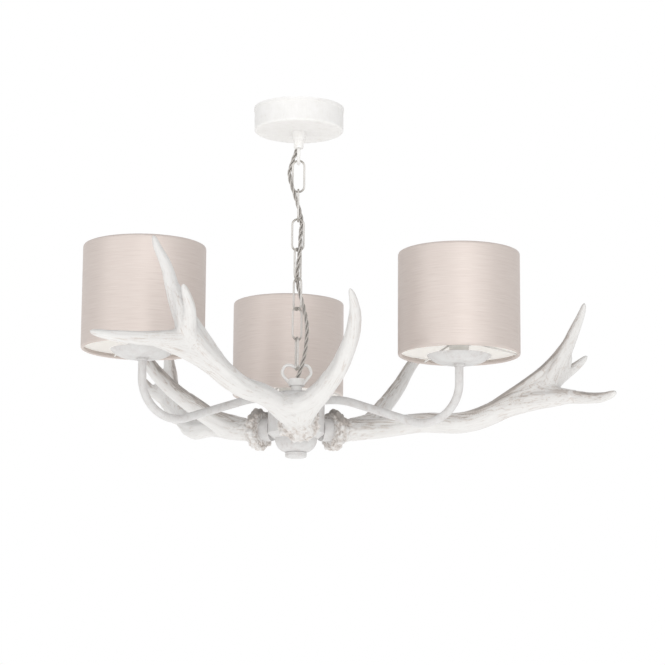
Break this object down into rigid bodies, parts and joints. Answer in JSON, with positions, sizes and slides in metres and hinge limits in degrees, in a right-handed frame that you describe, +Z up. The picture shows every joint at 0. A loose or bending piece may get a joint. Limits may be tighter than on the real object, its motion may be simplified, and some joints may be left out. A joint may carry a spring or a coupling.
{
  "type": "antler chandelier",
  "caption": "Antler chandelier: faux antlers and tube arms with drum shades on a turned hub, hung from a ceiling rose by an oval-link chain with a woven flex.",
  "frame": {"origin": "middle of the ceiling strap's top face, in the plane of the ceiling", "axes": "+Z up into the ceiling, -Y the front that the front antler grows towards, +X to the right seen from the front"},
  "size_m": [0.6978, 0.7634, 0.4835],
  "materials": {
    "white_gesso": "brushed chalky white paint over a thin gesso, matt, with brown-grey in the low spots",
    "chain_paint": "off-white paint on bent steel wire, worn grey where the links rub",
    "antler_resin": "cast resin antler, painted chalk white, satin to matt, grey-brown in the grain and burr",
    "shade_fabric": "oatmeal slub silk laminated on a stiff white liner, turned in at the rims",
    "frame_wire": "white powder coat on steel wire",
    "white_plastic": "moulded white heat-resistant plastic",
    "flex_braid": "grey-beige braided sleeve over twisted cores",
    "zinc_steel": "bright zinc plate on steel"
  },
  "bodies": {
    "ceiling": {"ceiling_strap": "zinc_steel", "canopy": "white_gesso", "canopy_collar": "white_gesso", "ceiling_hook": "white_gesso", "flex_grommet": "white_plastic", "terminal_block": "white_plastic", "flex": "flex_braid"},
    "link_1": {"chain_link_1": "chain_paint"},
    "link_2": {"chain_link_2": "chain_paint"},
    "link_3": {"chain_link_3": "chain_paint"},
    "link_4": {"chain_link_4": "chain_paint"},
    "link_5": {"chain_link_5": "chain_paint"},
    "link_6": {"chain_link_6": "chain_paint"},
    "link_7": {"chain_link_7": "chain_paint"},
    "fixture": {"antler_1": "antler_resin", "antler_2": "antler_resin", "antler_3": "antler_resin", "antler_bolts": "zinc_steel", "antler_stub_1": "white_gesso", "antler_stub_2": "white_gesso", "antler_stub_3": "white_gesso", "arm_1": "white_gesso", "arm_2": "white_gesso", "arm_3": "white_gesso", "arm_collar_1": "white_gesso", "arm_collar_2": "white_gesso", "arm_collar_3": "white_gesso", "arm_nuts": "zinc_steel", "arm_wire_1": "flex_braid", "arm_wire_2": "flex_braid", "arm_wire_3": "flex_braid", "cap_nipple": "zinc_steel", "cap_nut": "zinc_steel", "cap_screws": "zinc_steel", "drip_dish_1": "white_gesso", "drip_dish_2": "white_gesso", "drip_dish_3": "white_gesso", "finial": "white_gesso", "hanging_loop": "white_gesso", "hub_body": "white_gesso", "hub_bowl": "white_gesso", "hub_cap": "white_gesso", "hub_connector": "white_plastic", "lampholder_1": "white_plastic", "lampholder_2": "white_plastic", "lampholder_3": "white_plastic", "shade_1": "shade_fabric", "shade_2": "shade_fabric", "shade_3": "shade_fabric", "shade_frame_1": "frame_wire", "shade_frame_2": "frame_wire", "shade_frame_3": "frame_wire", "shade_hoop_1": "frame_wire", "shade_hoop_2": "frame_wire", "shade_hoop_3": "frame_wire", "shade_ring_1": "white_plastic", "shade_ring_2": "white_plastic", "shade_ring_3": "white_plastic"}
  },
  "joints": [
    {"name": "hook_to_link_1", "type": "hinge", "parent": "ceiling", "child": "link_1", "pos_m": [0, 0, -0.07745], "axis": [0, 1, 0], "range_deg": [-8, 8], "deforming": ["flex"]},
    {"name": "link_1_to_link_2", "type": "hinge", "parent": "link_1", "child": "link_2", "pos_m": [0, 0, -0.11769], "axis": [1, 0, 0], "range_deg": [-8, 8], "deforming": ["flex"]},
    {"name": "link_2_to_link_3", "type": "hinge", "parent": "link_2", "child": "link_3", "pos_m": [0, 0, -0.15878], "axis": [0, 1, 0], "range_deg": [-8, 8], "deforming": ["flex"]},
    {"name": "link_3_to_link_4", "type": "hinge", "parent": "link_3", "child": "link_4", "pos_m": [0, 0, -0.19987], "axis": [1, 0, 0], "range_deg": [-8, 8], "deforming": ["flex"]},
    {"name": "link_4_to_link_5", "type": "hinge", "parent": "link_4", "child": "link_5", "pos_m": [0, 0, -0.24096], "axis": [0.5299, 0.848, 0], "range_deg": [-8, 8], "deforming": ["flex"]},
    {"name": "link_5_to_link_6", "type": "hinge", "parent": "link_5", "child": "link_6", "pos_m": [0, 0, -0.28205], "axis": [-0.6428, 0.766, 0], "range_deg": [-8, 8], "deforming": ["flex"]},
    {"name": "link_6_to_link_7", "type": "hinge", "parent": "link_6", "child": "link_7", "pos_m": [0, 0, -0.32314], "axis": [0.766, 0.6428, 0], "range_deg": [-8, 8], "deforming": ["flex"]},
    {"name": "link_7_to_fixture", "type": "hinge", "parent": "link_7", "child": "fixture", "pos_m": [0, 0, -0.36423], "axis": [-0.1736, 0.9848, 0], "range_deg": [-8, 8], "deforming": ["flex"]}
  ]
}
